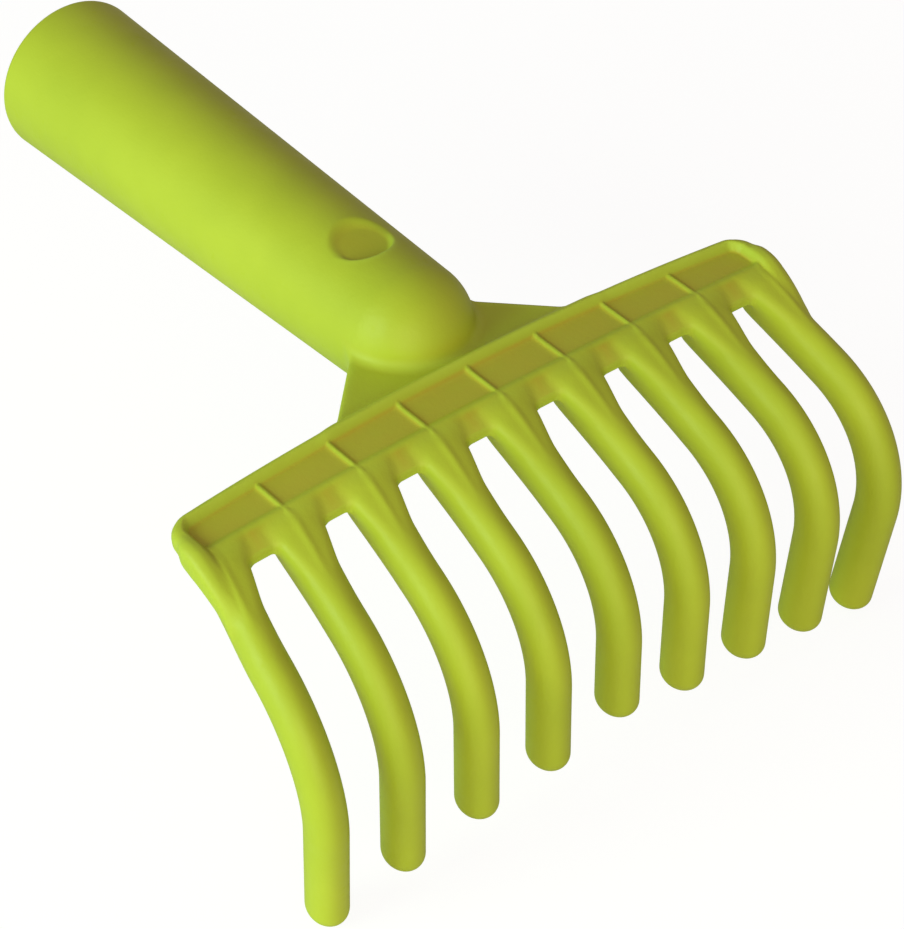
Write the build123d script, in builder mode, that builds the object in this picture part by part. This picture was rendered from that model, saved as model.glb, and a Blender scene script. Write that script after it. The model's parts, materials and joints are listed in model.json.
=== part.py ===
"""Hand rake for olives, moulded in one shot: a hollow tapered handle, a flared neck and a nine-tined head.

The origin is the centre of the handle's open mouth. +Y runs out of the mouth, the head and its tines
lie towards -Y, +X runs across the head and +Z is up. Lengths are in millimetres, angles in degrees.
Each member of the moulding is a solid of its own, cut where it meets the next one.
"""
from build123d import *
from math import cos, degrees, radians, sin, tan
import os

# Handle: a tapered tube, with a socket for a pole and a narrower core behind the socket's shoulder
handle_length = 123.5
mouth_radius = 18.7
neck_radius = 14.8
mouth_edge_radius = 1.2
socket_radius = 14.0
socket_depth = 62.0
nose_wall = 3.4
core_taper = 1.2

# Round dimple on top of the handle
dimple_radius = 6.5
dimple_depth = 2.6
dimple_from_nose = 14.0

# Neck web: flat plate that flares from the nose to the head
web_length = 17.7
web_root_half_width = 14.1
web_flare = 45.0
web_top = 0.7
web_thickness = 4.0
web_foot_radius = 6.0

# Head: plate with a raised rim, flat at the rear and sloping down at the front
head_end_margin = 4.5
head_depth = 17.0
rear_bow = 2.9
corner_radius = 5.8
rim_width = 3.0
rim_height = 2.2
rim_front_height = 1.0
plate_top = 1.05
plate_thickness = 3.0
front_slope_depth = 3.2
front_bevel = 1.2
arch_drop = 1.9

# Ribs on the plate
rib_width = 1.5
rib_height = 1.0
ridge_width = 2.2
ridge_height = 0.7

# Tines: straight root, one bend, straight tip; the outer ones bend more and reach further
tine_count = 9
tine_pitch = 18.0
tine_width = 8.6
tine_depth = 10.2
tine_slope = 24.8
tine_sink = 5.12
tine_straight = 19.4
tine_bend_radius = 28.8
tine_bend_angle = 64.6
outer_extra_bend_angle = 7.5
tine_tip = 22.0
outer_extra_tip = 6.2
middle_tine_shortfall = 3.1
tine_fan_angle = 1.99
tine_tip_radius = 3.6

# Sizes and places that follow
core_radius_at_nose = neck_radius - nose_wall
core_radius_at_shoulder = core_radius_at_nose + core_taper
outer_tine = (tine_count - 1) / 2
half_span = outer_tine * tine_pitch
head_half_width = half_span + head_end_margin
nose_y = -handle_length
rim_rear_y = nose_y - web_length
slot_root_y = rim_rear_y - head_depth
knee_y = slot_root_y + front_slope_depth
front_fall = front_slope_depth * tan(radians(tine_slope))
front_top = plate_top - front_fall
arch_radius = (half_span**2 + arch_drop**2) / (2 * arch_drop)
arch_axis = Axis((0, 0, -arch_radius), (0, 1, 0))
tall = 2 * head_half_width
beyond = 1.0


def handle_radius(y):
    """Outer radius of the tapered handle at a place along it."""
    return mouth_radius + (neck_radius - mouth_radius) * y / nose_y


def arch_degrees(length):
    """Angle that a length along the arched head takes at the arch's axis."""
    return degrees(length / arch_radius)


def arch_plane(along):
    """Plane across the arched head, with its x along +Y and its y away from the arch's axis."""
    angle = along / arch_radius
    place = (arch_radius * sin(angle), 0, arch_radius * cos(angle) - arch_radius)
    return Plane(origin=place, x_dir=(0, 1, 0), z_dir=(cos(angle), 0, -sin(angle)))


def head_outline(inset):
    """Plan of the head drawn in by inset: straight ends, a bowed rear edge and round rear corners."""
    half = head_half_width - inset
    middle = rim_rear_y - inset
    with BuildSketch() as outline:
        with BuildLine():
            ThreePointArc((-half, middle - rear_bow), (0, middle), (half, middle - rear_bow))
            Polyline(
                (half, middle - rear_bow),
                (half, slot_root_y),
                (-half, slot_root_y),
                (-half, middle - rear_bow),
            )
        make_face()
        fillet(outline.vertices().group_by(Axis.Y)[-1], corner_radius - inset)
    return outline.sketch


def slab_profile(rear_top, front_top_height, thickness_below):
    """Section through the head: level behind the knee, then falling to a bevel at the slot roots."""
    rear = rim_rear_y + beyond
    bottom = plate_top - thickness_below
    bevel_y = slot_root_y + front_bevel
    bevel_top = front_top + front_top_height + front_bevel * tan(radians(tine_slope))
    with BuildSketch() as section:
        with BuildLine():
            Polyline(
                (rear, rear_top),
                (knee_y, rear_top),
                (bevel_y, bevel_top),
                (slot_root_y, bevel_top - front_bevel),
                (slot_root_y, bottom - front_fall),
                (knee_y, bottom),
                (rear, bottom),
                close=True,
            )
        make_face()
    return section.sketch


# Tapered handle tube with the pole socket
with BuildPart() as handle_tube:
    with BuildSketch():
        with BuildLine():
            Polyline(
                (mouth_radius, 0),
                (neck_radius, nose_y),
                (core_radius_at_nose, nose_y),
                (core_radius_at_shoulder, -socket_depth),
                (socket_radius, -socket_depth),
                (socket_radius, 0),
                close=True,
            )
        make_face()
    revolve(axis=Axis.Y)
    mouth_rim = handle_tube.edges().filter_by(GeomType.CIRCLE).group_by(Axis.Y)[-1].sort_by(SortBy.RADIUS)[-1]
    fillet(mouth_rim, mouth_edge_radius)
    dimple_y = nose_y + dimple_from_nose
    with BuildSketch(Plane.XY.offset(handle_radius(dimple_y) - dimple_depth)):
        with Locations((0, dimple_y)):
            Circle(dimple_radius)
    extrude(amount=dimple_depth + beyond, mode=Mode.SUBTRACT)
handle_tube.part.label = "handle_tube"

# Hollow round nose that closes the handle
with BuildPart() as handle_nose:
    with BuildSketch():
        with Locations((0, nose_y)):
            Circle(neck_radius)
            Circle(core_radius_at_nose, mode=Mode.SUBTRACT)
        with Locations((0, nose_y - neck_radius)):
            Rectangle(neck_radius, neck_radius, align=(Align.MIN, Align.MIN), mode=Mode.INTERSECT)
    revolve(axis=Axis.Y)
handle_nose.part.label = "handle_nose"

# Flat web between the nose and the head
foot_half = web_root_half_width + web_length * tan(radians(web_flare))
tab_half = foot_half + web_foot_radius
foot_y = rim_rear_y - rear_bow * (tab_half / head_half_width) ** 2
with BuildPart() as neck_web:
    with BuildSketch(Plane.XY.offset(web_top - web_thickness)) as web_plan:
        with BuildLine():
            Polyline(
                (-web_root_half_width, nose_y),
                (web_root_half_width, nose_y),
                (foot_half, foot_y),
                (tab_half, foot_y),
                (tab_half, knee_y),
                (-tab_half, knee_y),
                (-tab_half, foot_y),
                (-foot_half, foot_y),
                close=True,
            )
        make_face()
        feet = web_plan.vertices().group_by(Axis.Y)[1].sort_by(Axis.X)
        fillet([feet[1], feet[2]], web_foot_radius)
    extrude(amount=web_thickness)
    with Locations((0, nose_y, 0)):
        Sphere(neck_radius, mode=Mode.SUBTRACT)
    with BuildSketch(Plane.XY.offset(-tall)):
        add(head_outline(0))
    extrude(amount=2 * tall, mode=Mode.SUBTRACT)
neck_web.part.label = "neck_web"

# Head plate inside the rims
with BuildPart() as head_plate:
    with BuildSketch(arch_plane(-head_half_width)):
        add(slab_profile(plate_top, 0, plate_thickness))
    revolve(axis=arch_axis, revolution_arc=arch_degrees(2 * head_half_width))
    with BuildSketch(Plane.XY.offset(-tall)):
        add(head_outline(rim_width))
    extrude(amount=2 * tall, mode=Mode.INTERSECT)
head_plate.part.label = "head_plate"


def rim_between(low, high):
    """Raised rim around the head, kept between two places across it."""
    with BuildPart() as rim:
        with BuildSketch(arch_plane(-head_half_width)):
            add(slab_profile(plate_top + rim_height, rim_front_height, plate_thickness))
        revolve(axis=arch_axis, revolution_arc=arch_degrees(2 * head_half_width))
        with BuildSketch(Plane.XY.offset(-tall)):
            add(head_outline(0))
            add(head_outline(rim_width), mode=Mode.SUBTRACT)
            with Locations(((low + high) / 2, rim_rear_y - head_depth / 2)):
                Rectangle(high - low, 2 * head_depth, mode=Mode.INTERSECT)
        extrude(amount=2 * tall, mode=Mode.INTERSECT)
    return rim.part


# Raised rims along the rear edge and round both ends
rim_split = head_half_width - corner_radius
with BuildPart() as rear_rim:
    add(rim_between(-rim_split, rim_split))
rear_rim.part.label = "rear_rim"

with BuildPart() as left_end_rim:
    add(rim_between(-head_half_width - beyond, -rim_split))
left_end_rim.part.label = "left_end_rim"

with BuildPart() as right_end_rim:
    add(rim_between(rim_split, head_half_width + beyond))
right_end_rim.part.label = "right_end_rim"

# Cross ribs behind every tine but the outer two
cross_ribs = []
for number in range(2, tine_count):
    place = arch_plane((number - 1 - outer_tine) * tine_pitch).origin.X
    with BuildPart() as cross_rib:
        with BuildSketch(arch_plane(-head_half_width)):
            with Locations((knee_y, plate_top)):
                Rectangle(rim_rear_y - knee_y, rib_height, align=(Align.MIN, Align.MIN))
        revolve(axis=arch_axis, revolution_arc=arch_degrees(2 * head_half_width))
        with BuildSketch(Plane.XY.offset(-tall)):
            add(head_outline(rim_width))
            with Locations((place, rim_rear_y)):
                Rectangle(rib_width, 2 * head_depth, mode=Mode.INTERSECT)
        extrude(amount=2 * tall, mode=Mode.INTERSECT)
    cross_rib.part.label = f"cross_rib_{number}"
    cross_ribs.append(cross_rib.part)

# Low ridge along the plate, broken by the cross ribs
with BuildPart() as mid_ridge:
    with BuildSketch(arch_plane(-head_half_width)):
        with Locations((knee_y, plate_top)):
            Rectangle(ridge_width, ridge_height, align=(Align.MIN, Align.MIN))
    revolve(axis=arch_axis, revolution_arc=arch_degrees(2 * head_half_width))
    with BuildSketch(Plane.XY.offset(-tall)):
        add(head_outline(rim_width))
    extrude(amount=2 * tall, mode=Mode.INTERSECT)
    for rib in cross_ribs:
        add(rib, mode=Mode.SUBTRACT)
mid_ridge.part.label = "mid_ridge"

# Claw tines, each gripping the front edge of the plate
tines = []
for number in range(1, tine_count + 1):
    step = number - 1 - outer_tine
    outwards = (step / outer_tine) ** 2
    bend = tine_bend_angle + outer_extra_bend_angle * outwards
    tip = tine_tip + outer_extra_tip * outwards
    if step == 0:
        tip = tip - middle_tine_shortfall
    with BuildLine() as spine:
        fall = tan(radians(tine_slope))
        back = front_slope_depth + tine_depth
        root = Line(
            (-back, back * fall),
            (tine_straight * cos(radians(tine_slope)), -tine_straight * sin(radians(tine_slope))),
        )
        curl = JernArc(root @ 1, root % 1, tine_bend_radius, -bend)
        Line(curl @ 1, curl @ 1 + (curl % 1) * tip)
    across = arch_plane(step * tine_pitch)
    seat = across.origin + across.y_dir * (front_top - tine_sink) + Vector(0, slot_root_y, 0)
    turn = radians(step * tine_fan_angle)
    forward = Vector(0, -1, 0) * cos(turn) + across.z_dir * sin(turn)
    bed = Plane(origin=seat, x_dir=forward, z_dir=forward.cross(across.y_dir))
    path = bed * spine.line
    with BuildPart() as tine:
        with BuildSketch(Plane(origin=path @ 0, x_dir=bed.z_dir, z_dir=path % 0)):
            Ellipse(tine_width / 2, tine_depth / 2)
        sweep(path=path)
        fillet(tine.faces().sort_by_distance(path @ 1)[0].edges(), tine_tip_radius)
        split(bisect_by=Plane.XZ.offset(-knee_y), keep=Keep.TOP)
        for neighbour in (head_plate, left_end_rim, right_end_rim):
            add(neighbour.part, mode=Mode.SUBTRACT)
    tine.part.label = f"tine_{number}"
    tines.append(tine.part)

# Files, one for each member
os.makedirs("parts", exist_ok=True)
members = [handle_tube, handle_nose, neck_web, head_plate, rear_rim, left_end_rim, right_end_rim, mid_ridge]
for member in [member.part for member in members] + cross_ribs + tines:
    export_step(member, f"parts/{member.label}.step")
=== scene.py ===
"""Olive rake: a one-piece hand rake moulded in lime-green plastic, dressed around its CAD frame.

The shapes are worked out in millimetres in the frame's own axes and written to the meshes in metres.
"""
import json
import math

import bmesh
import bpy
import numpy as np
from mathutils import Matrix, Vector

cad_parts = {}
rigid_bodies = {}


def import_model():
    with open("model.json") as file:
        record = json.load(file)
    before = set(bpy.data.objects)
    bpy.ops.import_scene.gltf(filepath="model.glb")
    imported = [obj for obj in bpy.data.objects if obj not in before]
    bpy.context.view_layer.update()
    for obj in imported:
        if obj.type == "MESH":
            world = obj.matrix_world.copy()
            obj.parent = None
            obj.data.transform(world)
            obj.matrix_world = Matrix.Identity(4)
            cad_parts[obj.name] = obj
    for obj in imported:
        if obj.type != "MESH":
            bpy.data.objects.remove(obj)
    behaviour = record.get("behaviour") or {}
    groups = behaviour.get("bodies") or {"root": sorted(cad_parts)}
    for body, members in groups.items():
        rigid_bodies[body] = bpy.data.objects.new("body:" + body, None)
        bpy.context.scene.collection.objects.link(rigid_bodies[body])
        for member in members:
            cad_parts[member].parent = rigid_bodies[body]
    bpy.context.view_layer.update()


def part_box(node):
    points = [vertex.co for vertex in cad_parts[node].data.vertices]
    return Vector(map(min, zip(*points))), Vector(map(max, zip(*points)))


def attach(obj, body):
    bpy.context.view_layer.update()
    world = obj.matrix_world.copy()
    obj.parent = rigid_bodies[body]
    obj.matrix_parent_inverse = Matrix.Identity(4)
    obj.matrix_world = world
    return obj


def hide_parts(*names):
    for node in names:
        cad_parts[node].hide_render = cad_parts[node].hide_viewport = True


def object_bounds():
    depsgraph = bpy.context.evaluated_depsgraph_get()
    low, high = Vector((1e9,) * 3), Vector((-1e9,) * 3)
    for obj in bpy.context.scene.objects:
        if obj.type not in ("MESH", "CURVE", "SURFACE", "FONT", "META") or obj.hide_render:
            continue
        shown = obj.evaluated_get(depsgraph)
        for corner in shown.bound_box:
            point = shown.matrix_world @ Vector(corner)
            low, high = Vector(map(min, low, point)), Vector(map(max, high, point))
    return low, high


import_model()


# The plastic
# One batch of lime-green polypropylene for the whole rake. The mould leaves it satin, with a faint
# orange-peel skin, a slightly uneven colour and small scuffs from use.
fresh_lime, deep_lime = (0.52, 0.63, 0.040, 1), (0.46, 0.57, 0.034, 1)
# The brown is painted shade for hollows and up-facing floors; the pale green is a painted highlight for crests and
# rims.
shade_brown, crest_highlight_green = (0.55, 0.41, 0.032, 1), (0.56, 0.76, 0.075, 1)


def lime_plastic(name):
    """Satin plastic: colour clouds of two sizes, painted shade in brown on hollows, painted highlights in pale green on
    crests, fine skin and scuffs.

    The hollows and crests come from each mesh's own "hollow" and "crest" attributes, from 0 to 1.
    """
    material = bpy.data.materials.new(name)
    material.use_nodes = True
    nodes, links = material.node_tree.nodes, material.node_tree.links
    surface = nodes["Principled BSDF"]
    surface.inputs["IOR"].default_value = 1.49
    surface.inputs["Specular IOR Level"].default_value = 0.35
    place = nodes.new("ShaderNodeTexCoord")

    def clouds(scale, detail, roughness):
        """Noise on the object's own coordinates, scale in features per metre."""
        noise = nodes.new("ShaderNodeTexNoise")
        noise.inputs["Scale"].default_value = scale
        noise.inputs["Detail"].default_value = detail
        noise.inputs["Roughness"].default_value = roughness
        links.new(place.outputs["Object"], noise.inputs["Vector"])
        return noise.outputs["Fac"]

    def spread(value, low, high, to_low, to_high):
        """Value stretched from low..high to to_low..to_high and held there."""
        stretch = nodes.new("ShaderNodeMapRange")
        links.new(value, stretch.inputs["Value"])
        for socket, number in zip(("From Min", "From Max", "To Min", "To Max"), (low, high, to_low, to_high)):
            stretch.inputs[socket].default_value = number
        return stretch.outputs["Result"]

    def product(one, two):
        """The two values multiplied."""
        times = nodes.new("ShaderNodeMath")
        times.operation = "MULTIPLY"
        links.new(one, times.inputs[0])
        links.new(two, times.inputs[1])
        return times.outputs["Value"]

    def tinted(colour, tint, share):
        """Colour mixed towards a tint by a share from 0 to 1."""
        mix = nodes.new("ShaderNodeMix")
        mix.data_type = "RGBA"
        links.new(share, mix.inputs["Factor"])
        if isinstance(colour, tuple):
            mix.inputs["A"].default_value = colour
        else:
            links.new(colour, mix.inputs["A"])
        mix.inputs["B"].default_value = tint
        return mix.outputs["Result"]

    def attribute(title):
        """One of the mesh's own numbers."""
        own = nodes.new("ShaderNodeAttribute")
        own.attribute_name = title
        return own.outputs["Fac"]

    broad, small = clouds(28, 3, 0.5), clouds(170, 4, 0.6)
    colour = tinted(fresh_lime, deep_lime, spread(broad, 0.35, 0.65, 0, 1))
    # Painted shade: brown laid on where the mesh's hollow number is high, broken up by the small clouds.
    shade_share = product(attribute("hollow"), spread(small, 0.3, 0.7, 0.65, 1))
    colour = tinted(colour, shade_brown, shade_share)
    # Painted highlight: pale green laid on where the mesh's crest number is high.
    highlight_share = product(attribute("crest"), spread(small, 0.3, 0.7, 0.6, 1))
    colour = tinted(colour, crest_highlight_green, highlight_share)
    links.new(colour, surface.inputs["Base Color"])
    scuffs = spread(clouds(520, 2, 0.5), 0.62, 0.72, 0, 0.1)
    uneven = nodes.new("ShaderNodeMath")
    uneven.operation = "ADD"
    links.new(spread(small, 0.3, 0.7, 0.42, 0.54), uneven.inputs[0])
    links.new(scuffs, uneven.inputs[1])
    links.new(uneven.outputs["Value"], surface.inputs["Roughness"])
    skin = nodes.new("ShaderNodeBump")
    skin.inputs["Strength"].default_value = 0.22
    skin.inputs["Distance"].default_value = 0.0002
    links.new(clouds(900, 2, 0.55), skin.inputs["Height"])
    links.new(skin.outputs["Normal"], surface.inputs["Normal"])
    return material


plastic = lime_plastic("lime_plastic")


# Handle
# Tapered round grip, open at its free end for a pole, with a shallow dimple on top near the head.
# It is drawn as rings along its axis: outer wall, mouth edge, socket, shoulder and narrower core.
def box_mm(node):
    """Lowest and highest corner of a CAD node in millimetres."""
    return [np.array(corner) * 1000 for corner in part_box(node)]


def make_mesh(name, points, faces):
    """Mesh object from points in millimetres and faces of three or four corners."""
    mesh = bpy.data.meshes.new(name)
    mesh.from_pydata((np.asarray(points) / 1000).tolist(), [], [list(face) for face in faces])
    mesh.polygons.foreach_set("use_smooth", [True] * len(mesh.polygons))
    mesh.materials.append(plastic)
    mesh.update()
    piece = bpy.data.objects.new(name, mesh)
    bpy.context.scene.collection.objects.link(piece)
    return piece


def grid_faces(rows, columns, closed):
    """Quads of a grid of points, row after row, where closed joins the last column to the first."""
    row, column = np.meshgrid(np.arange(rows - 1), np.arange(columns if closed else columns - 1), indexing="ij")
    here, beside = row * columns + column, row * columns + (column + 1) % columns
    return np.stack([here, beside, beside + columns, here + columns], -1).reshape(-1, 4)


def softly_above(a, b, blend):
    """The larger of two fields, with their meeting line rounded over the width blend."""
    gap = np.clip(blend - np.abs(a - b), 0, None)
    return np.maximum(a, b) + gap * gap / (4 * blend)


def softly_below(a, b, blend):
    """The smaller of two fields, with their meeting line rounded over the width blend."""
    return -softly_above(-a, -b, blend)


nose_y = box_mm("handle_tube")[0][1]
neck_radius = box_mm("handle_nose")[1][0]
mouth_radius = 18.7
handle_cut_y = nose_y + 4.5
socket_radius, socket_depth = 14.0, 62.0
core_at_shoulder, core_at_nose = 12.6, 11.4
dimple_y, dimple_radius, dimple_depth = nose_y + 14.0, 6.5, 1.9
dimple_tilt, gentle_wall, steep_wall = 0.12, 1.3, 3.5


def handle_radius(y):
    """Outer radius of the handle: it shrinks evenly from the mouth to the nose."""
    return mouth_radius + (neck_radius - mouth_radius) * y / nose_y


def from_dimple(x, y):
    """Distance from the dimple's centre, and how far a place lies on its head's side, from 0 to 1."""
    from_centre = np.hypot(x, y - dimple_y)
    return from_centre, np.clip((dimple_y - y) / np.maximum(from_centre, 0.1), 0, 1)


def mark_relief(piece, hollow, crest):
    """Keeps how hollow and how crested each point is, from 0 to 1, for the plastic to read as painted shade and painted
    highlight.
    """
    for title, values in (("hollow", hollow), ("crest", crest)):
        layer = piece.data.attributes.new(title, "FLOAT", "POINT")
        layer.data.foreach_set("value", np.clip(values, 0, 1).astype(np.float32))


def handle_surface(across, along):
    """Tapered round wall, lowered inside the dimple to a floor that deepens towards the head.

    The dimple's wall falls from the handle's own surface by its slope times the way in from its edge,
    and is steep at the head's end only.
    """
    radius = handle_radius(along)
    x, z = radius * np.sin(across), radius * np.cos(across)
    from_centre, to_head = from_dimple(x, along)
    floor = handle_radius(dimple_y) - dimple_depth + dimple_tilt * (along - dimple_y)
    wall = z - (dimple_radius - from_centre) * (gentle_wall + (steep_wall - gentle_wall) * to_head)
    lowered = softly_below(z, softly_above(wall, floor, 1.4), 1.2)
    z = np.where((z > 0) & (from_centre < dimple_radius + 3), lowered, z)
    return np.stack([x, along, z], -1)


around = np.linspace(0, 2 * math.pi, 256, endpoint=False)
mouth_edge = 1.2
turn = np.linspace(0, math.pi / 2, 7)
outer_y = np.concatenate([np.linspace(handle_cut_y, -mouth_edge, 300), -mouth_edge + mouth_edge * np.sin(turn[1:])])
ring_y, ring_across = np.meshgrid(outer_y, around, indexing="ij")
outer = handle_surface(ring_across, ring_y)
edge_drop = mouth_edge - np.sqrt(np.clip(mouth_edge**2 - np.clip(ring_y + mouth_edge, 0, None) ** 2, 0, None))
shrink = (1 - edge_drop / handle_radius(ring_y))[..., None]
outer = outer * np.concatenate([shrink, np.ones_like(shrink), shrink], -1)
inner_rounding = 0.5
inner_profile = [
    (socket_radius + inner_rounding, 0), (socket_radius + 0.15, -0.15), (socket_radius, -inner_rounding),
    (socket_radius, -socket_depth / 2), (socket_radius, -socket_depth + 0.3), (socket_radius - 0.3, -socket_depth),
    (core_at_shoulder + 0.2, -socket_depth), (core_at_shoulder, -socket_depth - 0.2), 
    (core_at_nose + (core_at_shoulder - core_at_nose) * 0.1, handle_cut_y),
]
inner = [np.stack([r * np.sin(around), np.full_like(around, y), r * np.cos(around)], -1) for r, y in inner_profile]
rings = np.concatenate([outer, np.array(inner)])
faces = grid_faces(len(rings), len(around), True)
last, first = (len(rings) - 1) * len(around), 0
column = np.arange(len(around))
beside = (column + 1) % len(around)
cap = np.stack([last + column, last + beside, first + beside, first + column], -1)
handle = make_mesh("handle", rings.reshape(-1, 3), np.concatenate([faces, cap]))
# Painted shade inside the dimple, and a painted highlight along its lip on the head's side.
from_centre, to_head = from_dimple(*rings.reshape(-1, 3)[:, :2].T)
on_top = rings.reshape(-1, 3)[:, 2] > 0
dimple_lip = np.exp(-(((from_centre - dimple_radius - 0.2) / 0.9) ** 2)) * to_head * on_top
in_dimple = np.clip((dimple_radius - from_centre) / 1.5, 0, 1) * on_top
mark_relief(handle, 0.35 * in_dimple, 0.7 * dimple_lip)
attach(handle, "root")
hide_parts("handle_tube")


# Tines
# Nine claws that leave the head in a straight run, bend down once and end in a blunt round tip.
# They are one with the head; each is drawn as an oval carried along its bent centre line.
tine_count, tine_pitch = 9, 18.0
tine_half_width, tine_half_depth = 4.3, 5.1
tine_slope = math.radians(24.8)
tine_straight, bend_radius = 19.4, 28.8
inner_bend, extra_bend = math.radians(64.6), math.radians(7.5)
inner_tip, extra_tip, middle_shortfall = 22.0, 6.2, 3.1
tine_fan = math.radians(1.99)
tine_sink = 5.12
arch_drop = 1.9
half_span = (tine_count - 1) / 2 * tine_pitch
arch_radius = (half_span**2 + arch_drop**2) / (2 * arch_drop)
slot_root_y = box_mm("head_plate")[0][1]
plate_top = 1.05
front_slope_depth = 3.2
front_top = plate_top - front_slope_depth * math.tan(tine_slope)
tine_cut_y = slot_root_y - 14.5
root_flare, root_flare_length = 0.55, 15.0
crest_height, crest_half_width, crest_length = 0.5, 0.9, 13.0
root_squareness, squareness_length = 0.8, 18.0
free_side_inset, inset_length = 0.9, 20.0


def tine_axes(step):
    """Seat, forward, sideways and upward directions of the tine that is step places from the middle one."""
    lean, fan = step * tine_pitch / arch_radius, step * tine_fan
    upward = np.array([math.sin(lean), 0, math.cos(lean)])
    lateral = np.array([math.cos(lean), 0, -math.sin(lean)])
    forward = np.array([0, -math.cos(fan), 0]) + lateral * math.sin(fan)
    sideways = lateral * math.cos(fan) + np.array([0, math.sin(fan), 0])
    seat = upward * (arch_radius + front_top - tine_sink) - np.array([0, -slot_root_y, arch_radius])
    return seat, forward, sideways, upward


def fade(distance, length):
    """Falls smoothly from one at zero to nothing at length."""
    rest = np.clip(1 - np.clip(distance, 0, None) / length, 0, 1)
    return rest * rest * (3 - 2 * rest)


def tine_section(direction, along, step):
    """Radius of a tine's section: an oval, wider and flatter on top at the root, with a low crest.

    The oval is |side/width|^p + |up/depth|^p = 1, where p falls from nearly three at the root to two. The
    free side of the two outer tines stays round, and is a little narrower there.
    """
    width = tine_half_width + root_flare * np.clip(1 - np.clip(along, 0, None) / root_flare_length, 0, 1) ** 1.5
    squareness = root_squareness
    if abs(step) == tine_count // 2:
        free_side = np.cos(direction) * step > 0
        width = np.where(free_side, tine_half_width - free_side_inset * fade(along, inset_length), width)
        squareness = np.where(free_side, 0, root_squareness)
    power = 2 + squareness * fade(along, squareness_length) * (np.sin(direction) > 0)
    side, up = np.abs(np.cos(direction)) / width, np.abs(np.sin(direction)) / tine_half_depth
    radius = (side**power + up**power) ** (-1 / power)
    crest = crest_height * fade(along, crest_length)
    off_crest = radius * np.cos(direction) / crest_half_width
    return radius + crest * np.exp(-off_crest * off_crest) * np.clip(np.sin(direction), 0, None)


directions = np.linspace(0, 2 * math.pi, 72, endpoint=False)
tip_rounding = 4.3


def tine_points(step):
    """Rings of a tine from inside the head to its tip: a straight run, an arc, a straight run, a round end."""
    outwards = (step / ((tine_count - 1) / 2)) ** 2
    bend = inner_bend + extra_bend * outwards
    tip = inner_tip + extra_tip * outwards - (middle_shortfall if step == 0 else 0)
    arc = bend_radius * bend
    total = tine_straight + arc + tip
    body = np.linspace(-2, total - tip_rounding, 160)
    closing = np.linspace(0, math.pi / 2, 14)[1:-1]
    along = np.concatenate([body, total - tip_rounding + tip_rounding * np.sin(closing)])
    scale = np.concatenate([np.ones_like(body), np.cos(closing)])
    angle = np.clip((along - tine_straight) / bend_radius, 0, bend)
    heading = tine_slope + angle
    ahead = np.minimum(along, tine_straight) * math.cos(tine_slope)
    drop = np.minimum(along, tine_straight) * math.sin(tine_slope)
    ahead += bend_radius * (np.sin(heading) - math.sin(tine_slope))
    drop += bend_radius * (math.cos(tine_slope) - np.cos(heading))
    beyond = np.clip(along - tine_straight - arc, 0, None)
    ahead += beyond * math.cos(tine_slope + bend)
    drop += beyond * math.sin(tine_slope + bend)
    seat, forward, sideways, upward = tine_axes(step)
    spine = seat + ahead[:, None] * forward - drop[:, None] * upward
    rise = np.sin(heading)[:, None] * forward + np.cos(heading)[:, None] * upward
    radius = tine_section(directions[None, :], along[:, None], step) * scale[:, None]
    rings = (
        spine[:, None]
        + (radius * np.cos(directions))[..., None] * sideways
        + (radius * np.sin(directions))[..., None] * rise[:, None]
    )
    total_ahead = seat + (ahead[-1]) * forward - drop[-1] * upward
    end = total_ahead + (total - along[-1]) * (
        math.cos(tine_slope + bend) * forward - math.sin(tine_slope + bend) * upward
    )
    return rings, end


def cut_and_cap(piece, place_y, keep_front):
    """Cuts a closed mesh square across at a place along Y and closes the cut with a flat face."""
    skin = bmesh.new()
    skin.from_mesh(piece.data)
    cut = bmesh.ops.bisect_plane(
        skin,
        geom=skin.verts[:] + skin.edges[:] + skin.faces[:],
        plane_co=(0, place_y / 1000, 0),
        plane_no=(0, 1, 0),
        clear_outer=keep_front,
        clear_inner=not keep_front,
    )
    border = [edge for edge in cut["geom_cut"] if isinstance(edge, bmesh.types.BMEdge)]
    bmesh.ops.triangle_fill(skin, edges=border, use_beauty=True, normal=(0, 1 if keep_front else -1, 0))
    skin.to_mesh(piece.data)
    skin.free()


for number in range(1, tine_count + 1):
    rings, end = tine_points(number - 1 - (tine_count - 1) / 2)
    rows, columns = rings.shape[:2]
    middle_start = rings[0].mean(0)
    points = np.concatenate([rings.reshape(-1, 3), [middle_start], [end]])
    faces = grid_faces(rows, columns, True).tolist()
    column = np.arange(columns)
    beside = (column + 1) % columns
    start_fan = np.stack([beside, column, np.full(columns, rows * columns)], -1)
    last = (rows - 1) * columns
    end_fan = np.stack([last + column, last + beside, np.full(columns, rows * columns + 1)], -1)
    tine = make_mesh(f"tine_{number}_claw", points, faces + start_fan.tolist() + end_fan.tolist())
    cut_and_cap(tine, tine_cut_y, True)
    mark_relief(tine, np.zeros(len(tine.data.vertices)), np.zeros(len(tine.data.vertices)))
    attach(tine, "root")
    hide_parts(f"tine_{number}")


# Head and neck
# Ribbed plate with a raised rim, nine tine roots, the flared web and the handle's round nose, all in
# one moulding with small fillets. Its skin is where a smooth field of distances passes through zero.
head_half_width = box_mm("right_end_rim")[1][0]
rear_y = box_mm("rear_rim")[1][1]
rear_bow, corner_radius = 2.9, 4.6
rim_height, rim_front_height, rim_flat, rim_cove = 2.2, 1.0, 1.0, 2.3
end_rim_extra, end_cove_extra, end_rounding = 1.3, 0.9, 0.9
end_inset = 0.6
rim_fade_length = 6.0
plate_thickness = 3.0
knee_y = slot_root_y + front_slope_depth
knee_rounding = 1.0
ridge_height, ridge_half_width = 0.75, 1.4
rib_height, rib_half_width = 0.75, 0.85
tongue_half_width, tongue_free_half_width, tongue_taper = 4.9, 3.4, 12.0
front_bevel = 1.2
web_top, web_thickness, web_root_half = 0.7, 4.0, 14.1


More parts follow.
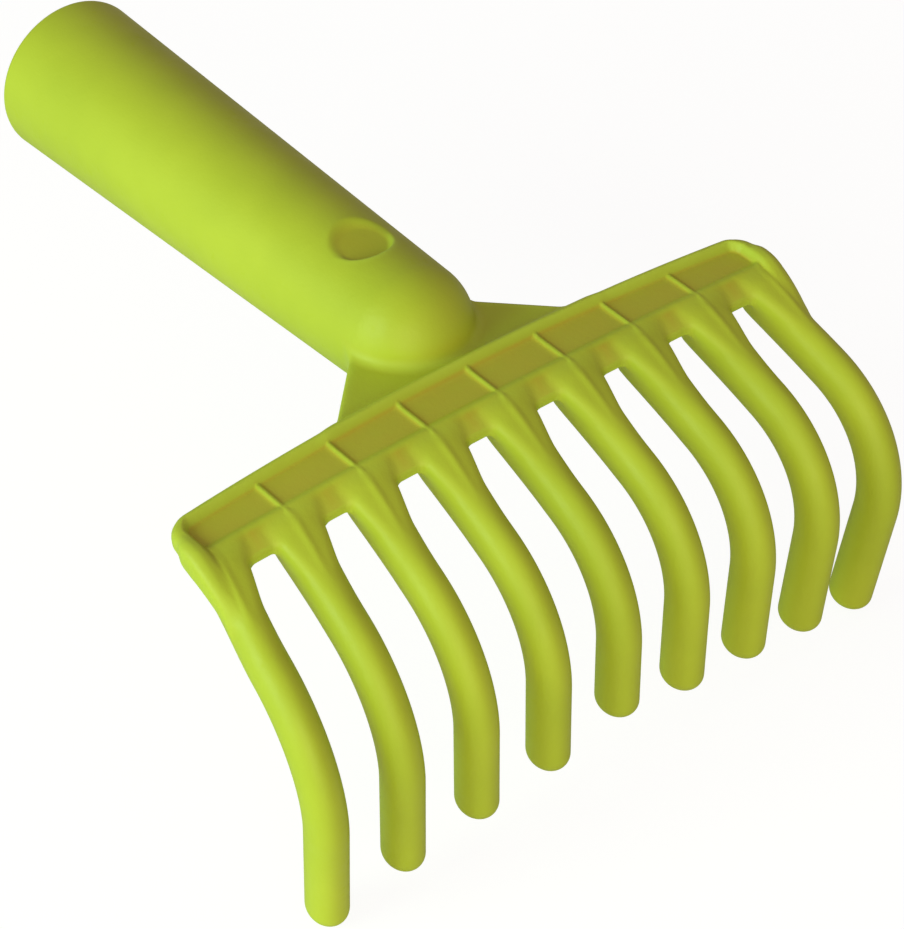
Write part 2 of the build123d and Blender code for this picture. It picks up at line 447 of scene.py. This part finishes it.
def near_end(u):
    """One at either end of the head, and nothing from the outer tines' middle inwards."""
    return 1 - fade(np.abs(u) - half_span + 1.5, 3.0)


def head_levels(u, y):
    """Heights of the plate's top and underside: level at the rear, falling to the slots, with ribs and rim."""
    ahead = knee_y - y
    fall = math.tan(tine_slope) * (ahead + np.sqrt(ahead * ahead + knee_rounding**2)) / 2
    ridge = ridge_height * np.exp(-(((y - knee_y - 1.1) / ridge_half_width) ** 2))
    nearest = np.clip(np.round(u / tine_pitch), -(tine_count // 2) + 1, tine_count // 2 - 1) * tine_pitch
    rib = rib_height * np.exp(-(((u - nearest) / rib_half_width) ** 2)) * fade(knee_y - y, 7.0)
    behind_edge = rear_y - rear_bow * (u / head_half_width) ** 2 - y
    inside_end = head_half_width - end_inset - np.abs(u)
    corner_u = np.clip(corner_radius - inside_end, 0, None)
    corner_y = np.clip(corner_radius - behind_edge, 0, None)
    inside = corner_radius - np.hypot(corner_u, corner_y)
    inside += -np.minimum(np.maximum(corner_radius - inside_end, corner_radius - behind_edge), 0)
    rim_level = rim_front_height + (rim_height - rim_front_height) * fade(knee_y + 3 - y, 8.0)
    rim = rim_level * fade(inside - rim_flat - end_rim_extra * near_end(u), rim_cove + end_cove_extra * near_end(u))
    past_slots = np.clip((slot_root_y - y) / rim_fade_length, 0, None)
    top = plate_top - fall + softly_above(rim, softly_above(ridge, rib, 0.3), 0.4) - 2.4 * past_slots**1.5
    underside = plate_top - plate_thickness - fall
    return top, underside, inside


def tine_root_field(x, y, z, step):
    """Distance from a tine's straight run with the tongue of plate that narrows into its top.

    The tongue is as thick as the plate and level with it, and sinks into the tine as it narrows.
    """
    seat, forward, sideways, upward = tine_axes(step)
    run = forward * math.cos(tine_slope) - upward * math.sin(tine_slope)
    rise = forward * math.sin(tine_slope) + upward * math.cos(tine_slope)
    offset = [x - seat[0], y - seat[1], z - seat[2]]
    along, side, up = [sum(offset[i] * axis[i] for i in range(3)) for axis in (run, sideways, rise)]
    run_skin = np.hypot(side, up) - tine_section(np.arctan2(up, side), along, step)
    level_with_plate = tine_sink * math.cos(tine_slope)
    free_side = (side * step > 0) & (abs(step) == tine_count // 2)
    half = np.where(free_side, tongue_free_half_width, tongue_half_width) - 3.4 * (np.clip(along, -4, None) / tongue_taper)
    sunk = 0.1 + 0.8 * np.clip(along / tongue_taper, 0, None) ** 1.5
    above, below = up - level_with_plate + sunk, level_with_plate - plate_thickness * math.cos(tine_slope) - up
    tongue = softly_above(softly_above(above, below, 1.2), (np.abs(side) - half) * 0.96, 2.2)
    return softly_below(run_skin, tongue, 0.4 + 2.6 * fade(along, 1.25 * tongue_taper))


def tine_roots(x, y, z, u, level):
    """Distance from the nearest tine's root, each ending in a rounded shoulder at the plate's knee."""
    roots = np.full_like(u, 99.0)
    for step in range(-(tine_count // 2), tine_count // 2 + 1):
        near = np.abs(u - step * tine_pitch) < tine_pitch
        if near.any():
            root = np.full_like(u, 99.0)
            root[near] = tine_root_field(x[near], y[near], z[near], step)
            roots = np.minimum(roots, root)
    shoulder = softly_above(level - plate_top - 0.5, y - knee_y - 0.6 - 2.6 * near_end(u), 1.5)
    return softly_above(roots, shoulder, 1.2)


def moulding(x, y, z):
    """Smooth field of distances from the head, neck and nose: below zero inside the plastic."""
    lean = np.arctan2(x, z + arch_radius)
    u, level = arch_radius * lean, np.hypot(x, z + arch_radius) - arch_radius
    top, underside, inside = head_levels(u, y)
    plate = softly_above(level - top, underside - level, 1.2)
    plate = softly_above(plate, -inside, 1.4 + end_rounding * near_end(u))
    reach_on = rim_fade_length * near_end(u)
    front = slot_root_y - reach_on
    bevel_top = front_top + front_bevel * math.tan(tine_slope)
    bevel = (level - bevel_top - (y - front - front_bevel)) * math.cos(math.radians(45))
    plate = softly_above(plate, bevel - 2 * reach_on, 1.0)
    plate = softly_above(plate, front - y - 0.4, 0.6)
    roots = tine_roots(x, y, z, u, level)
    side = (np.abs(x) - web_root_half - (nose_y - y)) * math.cos(math.radians(45))
    web = softly_above(softly_above(z - web_top, web_top - web_thickness - z, 1.0), side, 1.2)
    web = softly_above(web, rear_y - 1.6 - y, 1.0)
    web = softly_above(web, y - nose_y, 1.0)
    ahead = np.clip(nose_y - y, 0, None)
    radius = np.hypot(np.hypot(x, z), ahead)
    shell = radius - handle_radius(np.maximum(y, nose_y))
    core = core_at_nose + (core_at_shoulder - core_at_nose) * np.clip((y - nose_y) / (nose_y + socket_depth) * -1, 0, 1)
    skin = softly_below(plate, roots, 1.4 + 2.6 * (1 - fade(np.abs(u) - half_span, 3.0)))
    skin = softly_below(skin, web, 3.0)
    skin = softly_below(skin, shell, 2.5)
    return softly_above(skin, core - radius, 0.3)


def skin_of(field, low, high, step):
    """Surface net of a field: one point in every cell that the skin crosses, four cells to a face.

    Each point starts at the mean of the crossings on its cell's edges and slides down the field's
    gradient until it lies on the skin.
    """
    axes = [np.arange(low[i], high[i] + step, step) for i in range(3)]
    grid = np.meshgrid(*axes, indexing="ij")
    value = field(*grid)
    inside = value < 0
    total = np.zeros([n - 1 for n in value.shape] + [3])
    count = np.zeros([n - 1 for n in value.shape])
    sizes = np.array(count.shape)
    for axis in range(3):
        one, two = [a for a in range(3) if a != axis]
        a = np.moveaxis(value, axis, 0)[:-1]
        b = np.moveaxis(value, axis, 0)[1:]
        crossed = (a < 0) != (b < 0)
        share = np.where(crossed, a / np.where(crossed, a - b, 1), 0)
        for du in (0, 1):
            for dv in (0, 1):
                window = crossed[:, du: crossed.shape[1] - 1 + du, dv: crossed.shape[2] - 1 + dv]
                part = share[:, du: share.shape[1] - 1 + du, dv: share.shape[2] - 1 + dv]
                corner = np.zeros(window.shape + (3,))
                corner[..., axis] = part
                corner[..., one], corner[..., two] = du, dv
                weight = window.astype(float)
                total += np.moveaxis(corner * weight[..., None], 0, axis)
                count += np.moveaxis(weight, 0, axis)
    live = count > 0
    index = np.full(count.shape, -1)
    index[live] = np.arange(live.sum())
    cell = np.argwhere(live)
    points = np.array(low) + (cell + total[live] / count[live][:, None]) * step
    faces = []
    for axis in range(3):
        a = np.moveaxis(inside, axis, 0)[:-1, 1:-1, 1:-1]
        b = np.moveaxis(inside, axis, 0)[1:, 1:-1, 1:-1]
        number = np.moveaxis(index, axis, 0)
        quad = [number[:, :-1, :-1], number[:, 1:, :-1], number[:, 1:, 1:], number[:, :-1, 1:]]
        quad = np.stack(quad, -1)
        flip = axis == 1
        for crossing, order in ((a & ~b, not flip), (~a & b, flip)):
            found = quad[crossing]
            faces.append(found if order else found[:, ::-1])
    for _ in range(6):
        distance, slope = gradient_at(field, points)
        points = points - (distance / np.maximum((slope * slope).sum(1), 0.05))[:, None] * slope
    return points, np.concatenate(faces)


def gradient_at(field, points, reach=0.02):
    """Value of a field at points and its gradient, from central differences."""
    x, y, z = points.T
    slope = np.stack([
        field(x + reach, y, z) - field(x - reach, y, z),
        field(x, y + reach, z) - field(x, y - reach, z),
        field(x, y, z + reach) - field(x, y, z - reach),
    ], -1) / (2 * reach)
    return field(x, y, z), slope


def true_normals(piece, field, cuts, reach):
    """Gives a piece the field's own normals near its cuts, so that one moulding's pieces meet with no seam.

    The flat faces that close the cuts keep their own, and past the reach the mesh's normals stay.
    """
    mesh = piece.data
    own = np.empty(len(mesh.loops) * 3)
    mesh.corner_normals.foreach_get("vector", own)
    corner = np.empty(len(mesh.loops), int)
    mesh.loops.foreach_get("vertex_index", corner)
    places = np.empty(len(mesh.vertices) * 3)
    mesh.vertices.foreach_get("co", places)
    slope = gradient_at(field, places.reshape(-1, 3) * 1000)[1]
    slope /= np.maximum(np.linalg.norm(slope, axis=1), 1e-6)[:, None]
    counts = np.empty(len(mesh.polygons), int)
    mesh.polygons.foreach_get("loop_total", counts)
    flat = np.empty(len(mesh.polygons) * 3)
    mesh.polygons.foreach_get("normal", flat)
    flat = flat.reshape(-1, 3)
    centre = np.empty(len(mesh.polygons) * 3)
    mesh.polygons.foreach_get("center", centre)
    centre_y = centre.reshape(-1, 3)[:, 1] * 1000
    on_cut = np.zeros(len(mesh.polygons), bool)
    for place in cuts:
        on_cut |= (np.abs(centre_y - place) < 1e-3) & (np.abs(flat[:, 1]) > 0.999)
    face_of = np.repeat(np.arange(len(mesh.polygons)), counts)
    corner_y = places.reshape(-1, 3)[corner, 1] * 1000
    near = np.min([np.abs(corner_y - place) for place in cuts], 0) < reach
    normals = np.where(near[:, None], slope[corner], own.reshape(-1, 3))
    normals = np.where(on_cut[face_of][:, None], flat[face_of], normals)
    mesh.normals_split_custom_set(normals.tolist())


def relief_of(piece, probe, reach):
    """Hollow and crest, from 0 to 1, at each point of a piece of the moulding: how much painted shade and painted
    highlight it gets.

    A step of probe outwards along the normal ends nearer to the skin than probe in a hollow, and a step
    inwards does so at a crest. The plate's floor between rim, ribs and tines counts as half hollow, so painted shade
    browns it too.
    Both fade out within reach of the cut that the tines start from.
    """
    places = np.empty(len(piece.data.vertices) * 3)
    piece.data.vertices.foreach_get("co", places)
    places = places.reshape(-1, 3) * 1000
    slope = gradient_at(moulding, places)[1]
    slope /= np.maximum(np.linalg.norm(slope, axis=1), 1e-6)[:, None]
    hollow = 1 - moulding(*(places + slope * probe).T) / probe
    crest = 1 + moulding(*(places - slope * probe).T) / probe
    x, y, z = places.T
    u, level = arch_radius * np.arctan2(x, z + arch_radius), np.hypot(x, z + arch_radius) - arch_radius
    top, _, inside = head_levels(u, y)
    bare = plate_top - math.tan(tine_slope) * np.clip(knee_y - y, 0, None)
    floor = fade(np.abs(top - bare) - 0.1, 0.6) * (level > top - 0.8) * (inside > 0.5) * (y > slot_root_y - 1)
    floor = floor * np.clip(tine_roots(x, y, z, u, level) / 2.6, 0, 1)
    inner = 1 - fade(y - tine_cut_y, reach)
    return (hollow * 0.5 + floor * 0.7) * inner, crest * inner


cell_size = 0.45
neck_cut_y = rear_y + 1.5
margin = 2.0
head_low = [-head_half_width - margin, tine_cut_y - margin, -24.0]
head_high = [head_half_width + margin, neck_cut_y + margin, rim_height + plate_top + margin]
head = make_mesh("head", *skin_of(moulding, head_low, head_high, cell_size))
cut_and_cap(head, tine_cut_y, False)
cut_and_cap(head, neck_cut_y, True)
true_normals(head, moulding, (tine_cut_y, neck_cut_y), 1000)
# Painted shade in the head's hollows and on its floor, painted highlights on its crests and rims.
mark_relief(head, *relief_of(head, 1.6, 8.0))
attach(head, "root")
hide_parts("head_plate", "rear_rim", "left_end_rim", "right_end_rim", "mid_ridge")
ribs = [f"cross_rib_{number}" for number in range(2, tine_count)]
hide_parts(*ribs)

neck_reach = neck_radius + 8
neck_low = [-45.0, neck_cut_y - margin, -neck_radius - margin]
neck_high = [45.0, handle_cut_y + margin, neck_radius + margin]
neck = make_mesh("neck", *skin_of(moulding, neck_low, neck_high, cell_size))
cut_and_cap(neck, neck_cut_y, False)
cut_and_cap(neck, handle_cut_y, True)
true_normals(neck, moulding, (handle_cut_y, neck_cut_y), 1000)
true_normals(handle, moulding, (handle_cut_y,), 1.5)
for number in range(1, tine_count + 1):
    true_normals(bpy.data.objects[f"tine_{number}_claw"], moulding, (tine_cut_y,), 1.5)
# Painted shade in the neck's hollows, painted highlights on its crests.
mark_relief(neck, *relief_of(neck, 1.6, 8.0))
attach(neck, "root")
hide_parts("handle_nose", "neck_web")


# Floor, light and camera
# A plain white studio: the camera stands in front of the tines and looks down along the handle.
low, high = [Vector(corner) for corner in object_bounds()]
bpy.ops.mesh.primitive_plane_add(size=6, location=(0, -0.1, low.z - 0.0002))
floor = bpy.context.object
floor.name = "studio_floor"
floor_paint = bpy.data.materials.new("studio_floor")
floor_paint.use_nodes = True
nodes, links = floor_paint.node_tree.nodes, floor_paint.node_tree.links
nodes.remove(nodes["Principled BSDF"])
paint, shadow_catch = nodes.new("ShaderNodeBsdfDiffuse"), nodes.new("ShaderNodeBsdfDiffuse")
paint.inputs["Color"].default_value = (0.85, 0.85, 0.85, 1)
shadow_catch.inputs["Color"].default_value = (0.18, 0.18, 0.18, 1)
glow, seen_white, by_ray = [nodes.new(f"ShaderNode{kind}") for kind in ("Emission", "AddShader", "MixShader")]
glow.inputs["Color"].default_value = (0.9, 0.9, 0.9, 1)
seen = nodes.new("ShaderNodeLightPath")
links.new(glow.outputs["Emission"], seen_white.inputs[0])
links.new(shadow_catch.outputs["BSDF"], seen_white.inputs[1])
links.new(seen.outputs["Is Camera Ray"], by_ray.inputs["Fac"])
links.new(paint.outputs["BSDF"], by_ray.inputs[1])
links.new(seen_white.outputs["Shader"], by_ray.inputs[2])
links.new(by_ray.outputs["Shader"], nodes["Material Output"].inputs["Surface"])
floor.data.materials.append(floor_paint)

world = bpy.data.worlds.new("studio")
bpy.context.scene.world = world
world.use_nodes = True
nodes, links = world.node_tree.nodes, world.node_tree.links
ambient = nodes["Background"]
ambient.inputs["Color"].default_value = (0.62, 0.48, 0.50, 1)
ambient.inputs["Strength"].default_value = 0.55
backdrop = nodes.new("ShaderNodeBackground")
backdrop.inputs["Color"].default_value = (1, 1, 1, 1)
seen = nodes.new("ShaderNodeLightPath")
either = nodes.new("ShaderNodeMixShader")
links.new(seen.outputs["Is Camera Ray"], either.inputs["Fac"])
links.new(ambient.outputs["Background"], either.inputs[1])
links.new(backdrop.outputs["Background"], either.inputs[2])
links.new(either.outputs["Shader"], nodes["World Output"].inputs["Surface"])


def studio_lamp(name, azimuth, elevation, distance, size, power, colour=(1, 1, 1)):
    """Square soft lamp that looks at the middle of the rake from an azimuth and an elevation in degrees."""
    turn, rise = math.radians(azimuth), math.radians(elevation)
    aim = (low + high) / 2
    away = Vector((math.sin(turn) * math.cos(rise), -math.cos(turn) * math.cos(rise), math.sin(rise)))
    lamp = bpy.data.lights.new(name, "AREA")
    lamp.size, lamp.energy, lamp.color = size, power, colour
    holder = bpy.data.objects.new(name, lamp)
    holder.location = aim + away * distance
    holder.rotation_euler = away.to_track_quat("Z", "Y").to_euler()
    bpy.context.scene.collection.objects.link(holder)


studio_lamp("key_lamp", -95, 21, 1.2, 0.7, 9.5, (0.66, 0.97, 0.73))
studio_lamp("fill_lamp", -35, 18, 1.2, 0.8, 5.3, (1.0, 0.90, 0.58))

view_azimuth, view_elevation, view_roll = -0.70, 0.68, 0.01
view_distance = 0.63059
focal_pixels = 4.9257 * 630.59
picture_width, picture_height = 904, 929
aimed_pixel = (485.983, 400.442)
aimed_point = Vector((0, -0.150, -0.003))
towards_camera = Vector((
    math.sin(view_azimuth) * math.cos(view_elevation),
    -math.cos(view_azimuth) * math.cos(view_elevation),
    math.sin(view_elevation),
))
right = (-towards_camera).cross(Vector((0, 0, 1))).normalized()
up = right.cross(-towards_camera)
right = math.cos(view_roll) * right + math.sin(view_roll) * up
up = right.cross(-towards_camera)
station = aimed_point + towards_camera * view_distance
per_pixel = view_distance / focal_pixels
aim = (
    aimed_point
    + right * (picture_width / 2 - aimed_pixel[0]) * per_pixel
    - up * (picture_height / 2 - aimed_pixel[1]) * per_pixel
)
back = (station - aim).normalized()
right = (right - right.dot(back) * back).normalized()
camera_data = bpy.data.cameras.new("camera")
camera_data.lens = focal_pixels / picture_height * camera_data.sensor_width
camera_data.clip_start = 0.01
camera = bpy.data.objects.new("camera", camera_data)
camera.matrix_world = Matrix.Translation(station) @ Matrix((right, back.cross(right), back)).transposed().to_4x4()
bpy.context.scene.collection.objects.link(camera)
bpy.context.scene.camera = camera
bpy.context.scene.view_settings.view_transform = "Standard"
